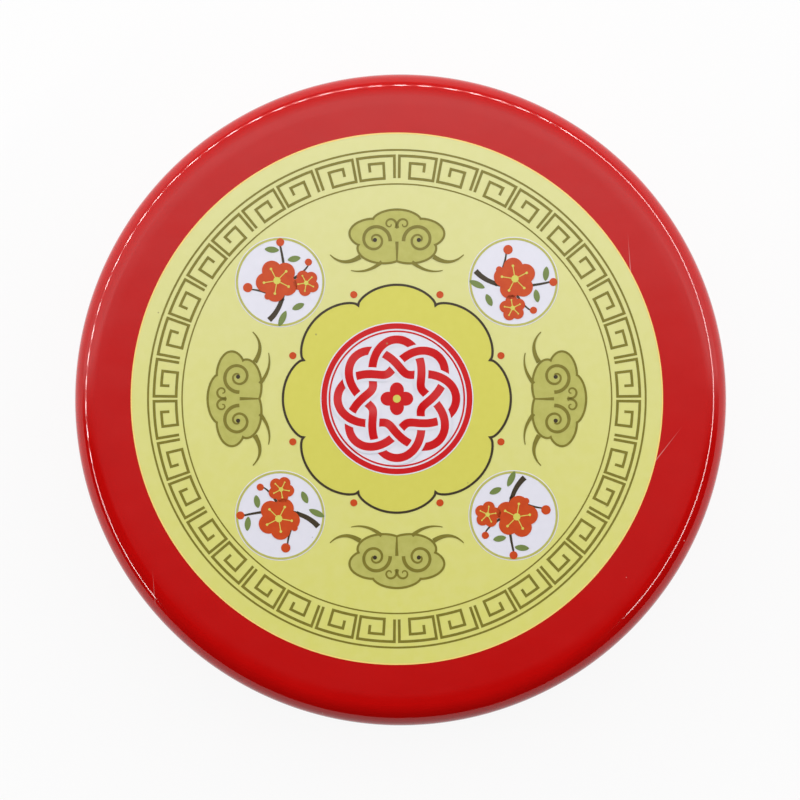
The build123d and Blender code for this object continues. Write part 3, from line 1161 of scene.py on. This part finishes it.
def stretch_silk():
    """Over the dome, down between ring and dish, and round the ring's foot. Each point's place in
    the UV map is its distance from the crown, as a share of the cut radius, in the direction that it
    lies in. Near the edge puckers add depth * rim * sin(n a + 3 sin 5a) * sin(pi rim / 2)."""
    moves = [
        *dome_moves(silk_turn - foot_height),
        bend(skirt_wall / 2 + silk / 2 + silk_gap, 180, 14),
        run(silk_hem, 3),
    ]
    middle, _ = trace((0, silk_crown), 0, moves)
    along = lengths_along(middle)
    cut_radius = along[-1]
    points = turned(wall((0, silk_crown), 0, moves, silk), SILK_STEPS)
    a = np.linspace(0, 2 * pi, SILK_STEPS + 1)[:, None]
    out = np.concatenate([along, along[::-1]]) / cut_radius
    flat = 0.5 + 0.5 * polar(out, a)
    x, y, z = np.moveaxis(points, -1, 0)
    rim = np.clip((np.hypot(x, y) / silk_wall - PUCKER_START) / PUCKER_FADE, 0, 1) * (z > silk_turn)
    around = np.sin(PUCKERS * a[:-1] + 3 * np.sin(5 * a[:-1]))
    z += PUCKER_DEPTH * rim * around * np.sin(pi * rim / 2)
    cloth = make_piece("silk_cover", [grid(points, uv=flat)], [silk_finish(cut_radius)], "base",
                       ["pad_cloth"])
    print("silk cut", round(2 * cut_radius / MM, 1), "mm across")


print("dome radius", round(dome_radius / MM), "mm, rising", round(dome_drop / MM, 2), "mm")

# %% [markdown]
# ## Sponge and paste
# At the bottom of the dish lies a sponge that feeds the paste with oil. It doesn't show while the silk
# is on, but it is there when the tin is cut open. Real holes would take millions of faces, so a
# scatter of deep spots stands in for the pores, painted dark in the middle as oil and as painted shade
# inside a hole.

# %% Put in the sponge
core_low, core_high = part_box("pad_core")
core_edge = 0.8 * MM
core_waist = 0.25 * MM
# The first red is a pore's middle: oil, and painted shade inside the hole.
PORE_SHADE_AND_SPONGE_REDS = (solid(0.22, 0.03, 0.014), solid(0.55, 0.13, 0.07))
PORE_SIZE, PORE_DEPTH = 0.9 * MM, 0.3 * MM
PORE_SHADE_LIMITS, PORE_DULL_LIMITS = (0.1, 0.6), (0.0, 0.7)
SPONGE_DULLNESS = (0.35, 0.80)
PAD_STEPS = 180


def sponge_finish():
    """Pores round the seeds of a scatter: deep and wet in the middle, where the dark is oil and painted
    shade inside the hole, pale and dry outside.
    """
    g = Graph("oiled_sponge")
    pores, _ = g.seeds(PORE_SIZE)
    colour = g.mix(g.step(pores, *PORE_SHADE_LIMITS), *PORE_SHADE_AND_SPONGE_REDS)
    rough = g.step(pores, *PORE_DULL_LIMITS, *SPONGE_DULLNESS)
    return g.finish(Base_Color=colour, Roughness=rough, Normal=g.bump(pores, PORE_DEPTH))


def fill_sponge():
    """A disc with rounded edges, whose sides draw in by waist * sin(pi h) at a share h of its
    height."""
    reach = core_high.x
    height = core_high.z - core_low.z
    moves = [
        run(reach - core_edge, 20),
        bend(core_edge, 90, 8),
        run(height - 2 * core_edge, 12),
        bend(core_edge, 90, 8),
        run(reach - core_edge, 20),
    ]
    outline, _ = trace((0, core_low.z), 0, moves)
    out, up = outline.T
    out -= core_waist * np.sin(pi * (up - core_low.z) / height) * (out > reach - core_edge)
    parts = [grid(turned(outline, PAD_STEPS))]
    piece = make_piece("sponge_core", parts, [sponge_finish()], "base", ["pad_core"])


fill_sponge()

# %% [markdown]
# Over the sponge lies the paste, a stiff dough of red pigment, oil and fibres. It could be a plain disc
# that the silk cuts into, but it fills what is left under the silk, so its top is the silk's own dome,
# moved in. The silk is stretched last, over what fills the dish.

# %% Fill in the paste
PASTE_REDS = (solid(0.36, 0.008, 0.006), solid(0.54, 0.018, 0.012))
FIBRE_SIZE, FIBRE_STRETCH, FIBRE_DEPTH = 0.5 * MM, (1.0, 0.25, 1.0), 0.1 * MM
FIBRE_LIMITS = (0.3, 0.7)
PASTE_DULLNESS = (0.24, 0.42)
PASTE_FLOOR_POINTS = 12


def paste_finish():
    """A stiff dough: fibres that are long in y, paler on top."""
    g = Graph("seal_paste")
    fibre = g.noise(FIBRE_SIZE, 5.0, g.squeezed(FIBRE_STRETCH))
    rough = g.step(fibre, *FIBRE_LIMITS, *PASTE_DULLNESS)
    bumps = g.bump(fibre, FIBRE_DEPTH)
    return g.finish(Base_Color=g.mix(fibre, *PASTE_REDS), Roughness=rough, Normal=bumps)


def fill_paste():
    """Flat below, and above the silk's dome moved in by half its thickness and a gap."""
    middle, lefts = trace((0, silk_crown), 0, dome_moves(silk_turn - core_high.z))
    under = middle - lefts * (silk / 2 + silk_gap)
    out = np.linspace(0, under[-1, 0], PASTE_FLOOR_POINTS)
    floor = np.stack([out, np.full(PASTE_FLOOR_POINTS, core_high.z)], axis=1)
    parts = [grid(turned(np.concatenate([floor, under[::-1]]), PAD_STEPS))]
    make_piece("paste_bed", parts, [paste_finish()], "base", ["paste_layer"])


fill_paste()
stretch_silk()

# %% [markdown]
# ## The clear film
# A thin clear film lies on the silk and keeps it from drying. Paste has smeared and stained it here
# and there. Real glass in the shader would bend light at both faces of the sheet, which costs time
# and hardly shows, so the film is a shiny surface that covers only a little of what lies under it.

# %% Make the film clear
FILM_INDEX = 2.6
FILM_TINTS = (solid(0.14, 0.15, 0.16), solid(0.30, 0.02, 0.015))
FILM_COVERS = {"bare": 0.06, "smear": 0.03, "oil": 0.08, "edge on": 0.35}
FILM_DULLNESS = (0.05, 0.14)
FILM_RIPPLE, FILM_RIPPLE_DEPTH = 5 * MM, 0.04 * MM
SMEAR_SIZE, SMEAR_LIMITS = 9 * MM, (0.45, 0.75)
OIL_SIZE, OIL_LIMITS = 3 * MM, (0.56, 0.68)
EDGE_ON_BLEND = 0.2
CUT_EDGE_COLOUR = solid(0.80, 0.82, 0.84)
CUT_EDGE_COVER, CUT_EDGE_DULLNESS = (0.35, 0.65), 0.25
CUT_EDGE_MOTTLE, CUT_EDGE_LIMITS = 2 * MM, (0.3, 0.7)


def film_finish():
    """Clear film: little cover, so that the silk shows through. Smears, oil and a look along the
    sheet add some. Cover dims the shine as well, so the index of refraction is set high to make up
    for it."""
    g = Graph("clear_film")
    smear = g.step(g.noise(SMEAR_SIZE, 4.0), *SMEAR_LIMITS)
    oil = g.step(g.noise(OIL_SIZE, 5.0, roughness=0.6), *OIL_LIMITS)
    edge_on = g.add("ShaderNodeLayerWeight", {"Blend": EDGE_ON_BLEND}).outputs["Facing"]
    cover = FILM_COVERS["bare"]
    for share, name in ((smear, "smear"), (oil, "oil"), (edge_on, "edge on")):
        cover = g.math("ADD", cover, g.math("MULTIPLY", share, FILM_COVERS[name]))
    rough = g.step(smear, 0.0, 1.0, *FILM_DULLNESS)
    ripple = g.bump(g.noise(FILM_RIPPLE, 2.0), FILM_RIPPLE_DEPTH)
    g.finish(Base_Color=g.mix(oil, *FILM_TINTS), Alpha=cover, Roughness=rough)
    return g.finish(Normal=ripple, IOR=FILM_INDEX)


def cut_edge_finish():
    """The film's cut edge, which gathers light and so is paler and less clear than its faces."""
    g = Graph("film_cut_edge")
    cover = g.step(g.noise(CUT_EDGE_MOTTLE, 2.0), *CUT_EDGE_LIMITS, *CUT_EDGE_COVER)
    return g.finish(Base_Color=CUT_EDGE_COLOUR, Alpha=cover, Roughness=CUT_EDGE_DULLNESS)


print("the bare film covers", FILM_COVERS["bare"], "of what lies under it")

# %% [markdown]
# The film is cut round, with one ear folded up to lift it by. It clings in places and stands off in
# others, so it gets low waves that only rise. A simulation could drape it, but it might sink into the
# silk, and these waves can't.

# %% Shape the film
film_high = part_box("cover_film")[1]
film = 0.2 * MM
film_gap = 0.1 * MM
film_radius = film_high.x
film_shift = (silk + film) / 2 + film_gap
fold = film_radius - 1.45 * MM
ear_half = 6.0 * MM
ear_corner = 2.0 * MM
ear_bend = 1.2 * MM
ear_slope = 75.0
EAR_ROWS, RIM_ROWS, DISC_COLUMNS = 25, 240, 26
RIM_STEP = 0.1
FILM_WAVE = 0.22 * MM


def film_height(x, y):
    """The film's middle: a ball of radius B, which is the silk's dome moved out by the sheets and the
    gap, so z = crown - B + sqrt(B^2 - r^2). Waves are added that rise towards the rim as
    wave * (1 + sin(5a + 4.8 r / R) sin(3a + 1.1)) / 2 * (r / R)^3."""
    ball = dome_radius + film_shift
    r, a = np.hypot(x, y), np.arctan2(y, x)
    share = r / film_radius
    wave = (1 + np.sin(5 * a + 4.8 * share) * np.sin(3 * a + 1.1)) / 2
    return silk_crown + film_shift - ball + np.sqrt(ball**2 - r**2) + FILM_WAVE * wave * share**3


def film_disc(ear_angles, half_turn):
    """The disc is (r sin a, -r cos a), with a from the middle of the ear. Its rim is cut straight at
    the fold, where r = fold / cos a, and steps out to its full radius within a tenth of a degree."""
    rest = np.linspace(half_turn, 2 * pi - half_turn, RIM_ROWS)
    rest[0] += radians(RIM_STEP)
    rest[-1] -= radians(RIM_STEP)
    a = np.concatenate([ear_angles, rest])
    rim = np.where(np.arange(len(a)) < EAR_ROWS, fold / np.cos(a), film_radius)
    r = rim[:, None] * np.linspace(1, 0, DISC_COLUMNS)
    x, y = r * np.sin(a)[:, None], -r * np.cos(a)[:, None]
    return np.stack([x, y, film_height(x, y)], axis=-1)


def film_ear(ear_angles):
    """The ear goes on from the fold: a bend up, then a slope. It is as wide as the fold until its
    corners round off, as 1 - c (1 - sqrt(1 - s^2)), with c the corner's share of half the ear, and s
    from 0 to 1 along the corner."""
    droop = degrees(np.arcsin(fold / dome_radius))
    bend_rise = ear_bend * (cos(radians(droop)) - cos(radians(ear_slope)))
    rise = film_high.z - film / 2 - film_height(0.0, -fold) - bend_rise
    moves = [bend(ear_bend, ear_slope + droop, 10), run(rise / sin(radians(ear_slope)), 12)]
    line, _ = trace((0, 0), -droop, moves)
    along = lengths_along(line)
    round_off = np.clip((along - along[-1] + ear_corner) / ear_corner, 0, 1)
    half = 1 - ear_corner / ear_half * (1 - np.sqrt(1 - round_off**2))
    x = (fold * np.tan(ear_angles))[:, None] * half
    y = -fold - line[:, 0] + 0 * x
    z = film_height(x[:, :1], -fold) + line[:, 1] + 0 * x
    return np.stack([x, y, z], axis=-1)[:, ::-1]


print("film", round(2 * film_radius / MM, 1), "mm across, ear", round(2 * ear_half / MM, 1), "mm wide")

# %% [markdown]
# The film starts as a surface without thickness, and Solidify gives it its sheet. Two skins could be
# modelled, but then every wave would have to be worked out twice. The volume that is printed for it
# means nothing yet, because its surface is still open.

# %% Cut the film
def cut_film():
    """Disc and ear meet in the fold, point for point. Solidify turns the surface into a sheet and
    gives its rim the second finish."""
    half_turn = atan(ear_half / fold)
    ear_angles = np.linspace(-half_turn, half_turn, EAR_ROWS)
    sheets = [grid(film_disc(ear_angles, half_turn)), grid(film_ear(ear_angles), (False, False))]
    finishes = [film_finish(), cut_edge_finish()]
    piece = make_piece("film_sheet", sheets, finishes, "film", ["cover_film"])
    sheet = piece.modifiers.new("sheet", "SOLIDIFY")
    sheet.thickness = film
    sheet.offset = 0.0
    sheet.material_offset_rim = 1
    return piece


cut_film()

# %% [markdown]
# ## Floor, light and camera
# A packshot stands on white. The floor is pale paint, but where the camera, a mirror or glass looks at
# it, most of its colour is a plain white that gives the tin no light. So it reads as white without a
# stronger light on the tin, and the lit tenth that is left keeps the shadow.

# %% Lay the floor
FLOOR_RADIUS, FLOOR_STEPS, FLOOR_RINGS = 4.0, 96, 12
FLOOR_GREYS = (solid(0.66, 0.66, 0.66), solid(0.70, 0.70, 0.70))
FLOOR_CLOUD = 0.4
FLOOR_DULLNESS = 0.9
OWN_WHITE = 0.9


def studio_piece(name, points, closed, finishes):
    """A grid of points as a thing of the studio, which is no part of the tin."""
    mesh = bpy.data.meshes.new(name)
    mesh.from_pydata(points.reshape(-1, 3), [], cells(*points.shape[:2], closed))
    for finish in finishes:
        mesh.materials.append(finish)
    return put_in_scene(name, mesh)


def floor_finish():
    """Pale paint, mixed with plain white for the rays that see the floor but don't light the tin."""
    g = Graph("pale_floor")
    g.finish(Base_Color=g.mix(g.noise(FLOOR_CLOUD), *FLOOR_GREYS), Roughness=FLOOR_DULLNESS)
    path = g.add("ShaderNodeLightPath").outputs
    seen = g.math("MAXIMUM", path["Is Camera Ray"], path["Is Glossy Ray"])
    seen = g.math("MAXIMUM", seen, path["Is Transmission Ray"])
    white = g.glow(solid(1, 1, 1), 1.0)
    both = {0: g.math("MULTIPLY", seen, OWN_WHITE), 1: g.shader.outputs[0], 2: white}
    return g.surface(g.add("ShaderNodeMixShader", both).outputs[0])


def lay_floor():
    """A flat disc: the points (r cos a, r sin a, 0), from its rim to its middle."""
    r = np.linspace(FLOOR_RADIUS, 0, FLOOR_RINGS)
    points = turned(np.stack([r, 0 * r], axis=1), FLOOR_STEPS)
    floor = studio_piece("floor", points, (True, False), [floor_finish()])
    print("floor", 2 * FLOOR_RADIUS, "m across")


lay_floor()

# %% [markdown]
# A thin bright line runs round the tin's shoulder in the photo, even at the right and broken into
# dashes behind and at the left. It must be the mirror image of a row of lights round the tin, open at
# the near side. Lamps could be set one by one, but here the row is a narrow strip on a sphere: one
# long tube, then bright lamps with dim cloth between them, then tube again. How high it hangs sets
# how far in from the edge the line lies.

# %% Hang the lamps
ROW_RADIUS = 0.45
ROW_HEIGHT = 3.5
ROW_AZIMUTHS = (-43.5, -20.0, 0.0, 30.0, 60.0, 90.0, 135.0, 180.0, 219.0)
ROW_ELEVATIONS = (45.0, 44.0, 39.0, 29.0, 27.0, 31.0, 24.5, 30.0, 28.0)
ROW_STRENGTHS = {"lamp_cloth": 1.2, "lamp": 36.0, "lamp_tube": 18.6}
LAMP_WHITE = solid(1.0, 0.985, 0.98)
LAMPS = 57
LAMP_PARTS = 4
LAMPS_FROM, LAMPS_TO = 56.0, 192.0


def glowing(name, strength):
    """A finish that only gives light, slightly warm."""
    g = Graph(name)
    return g.surface(g.glow(LAMP_WHITE, strength))


def hang_lamps():
    """The row lies on a sphere, at R (cos e cos a, cos e sin a, sin e). Each single lamp is as wide
    as the cloth that follows it. The tube gives as much light as lamps and cloth in the mean. In the
    list of finishes 0 is the cloth, 1 a lamp and 2 the tube."""
    steps = LAMPS * LAMP_PARTS + LAMP_PARTS // 2 + 1
    azimuth = np.linspace(ROW_AZIMUTHS[0], ROW_AZIMUTHS[-1], steps)
    middle = np.interp(azimuth, ROW_AZIMUTHS, ROW_ELEVATIONS)
    a = np.radians(azimuth)[:, None]
    e = np.radians(middle[:, None] + ROW_HEIGHT * np.linspace(-0.5, 0.5, 3))
    points = ROW_RADIUS * np.stack([np.cos(e) * np.cos(a), np.cos(e) * np.sin(a), np.sin(e)], axis=-1)
    finishes = [glowing(name, strength) for name, strength in ROW_STRENGTHS.items()]
    row = studio_piece("lamp_row", points, (False, False), finishes)
    part = np.arange(len(row.data.polygons)) // 2
    single = (azimuth[part] > LAMPS_FROM) & (azimuth[part] < LAMPS_TO)
    which = np.where(single, part % LAMP_PARTS < LAMP_PARTS // 2, 2)
    row.data.polygons.foreach_set("material_index", which.astype(np.int32))
    row.visible_camera = False
    print("lamp row over", azimuth[-1] - azimuth[0], "degrees, single lamps over", LAMPS_TO - LAMPS_FROM)


hang_lamps()

# %% [markdown]
# The room round the tin is a soft light that hangs behind it and ends just past overhead. Mirrored in
# the flat face, its edge makes the pale veil that fades from the far side of the face to the near one.
# So the world's colour depends on how far back a direction points, its y. Along the table the camera,
# mirrors and glass see the white paper that the tin stands on.

# %% Light the room
ROOM_STOPS = ((-0.10, 0.0), (0.0, 0.40), (0.09, 1.7), (0.25, 1.3), (0.65, 0.6), (1.0, 0.3))
PAPER_TOP = 0.16


def light_room():
    """World colour: a ramp of levels over y, from -1 to 1, and 1 below the paper's top for all rays
    but the diffuse ones."""
    world = bpy.data.worlds.new("room")
    bpy.context.scene.world = world
    g = Graph("room", world)
    _, y, z = g.parts(g.look["Generated"])
    share = g.add("ShaderNodeMapRange", {"Value": y, "From Min": -1.0, "From Max": 1.0}).outputs[0]
    ramp = g.add("ShaderNodeValToRGB", {"Fac": share})
    stops = ramp.color_ramp.elements
    for place, _ in ROOM_STOPS[:-2]:
        stops.new((place + 1) / 2)
    for stop, (place, level) in zip(stops, ROOM_STOPS):
        stop.position = (place + 1) / 2
        stop.color = solid(level, level, level)
    unlit = g.math("SUBTRACT", 1.0, g.add("ShaderNodeLightPath").outputs["Is Diffuse Ray"])
    paper = g.math("MULTIPLY", g.math("LESS_THAN", z, PAPER_TOP), unlit)
    g.finish(Color=g.mix(paper, ramp.outputs[0], solid(1, 1, 1)))
    print("room light in", len(stops), "steps")


light_room()

# %% [markdown]
# The photo is 800 pixels wide, the tin's outline is a circle in it, and so the camera looks straight
# down. Its distance is free, because a circle looks the same from any height. 0.6 m suits a tin of
# this size. The lens then follows from how many pixels the tin's radius takes.

# %% Set the camera
PHOTO_WIDTH = 800
OUTLINE_CENTRE = (400.6, 399.9)
OUTLINE_RADIUS = 325.5
CAMERA_DISTANCE = 0.6
SENSOR = 36.0

outline_height = face_height - shoulder
pixel = tin_radius / OUTLINE_RADIUS
camera_data = bpy.data.cameras.new("camera")
camera_data.sensor_width = SENSOR
camera_data.lens = SENSOR * CAMERA_DISTANCE / (PHOTO_WIDTH * pixel)
camera = put_in_scene("camera", camera_data)
camera.location = (
    (PHOTO_WIDTH / 2 - OUTLINE_CENTRE[0]) * pixel,
    (OUTLINE_CENTRE[1] - PHOTO_WIDTH / 2) * pixel,
    outline_height + CAMERA_DISTANCE,
)
bpy.context.scene.camera = camera
bpy.context.scene.view_settings.view_transform = "Standard"
print("lens", round(camera_data.lens, 1), "mm")

# %% [markdown] ## Size
# The dressed tin takes its main sizes from the frame's boxes.
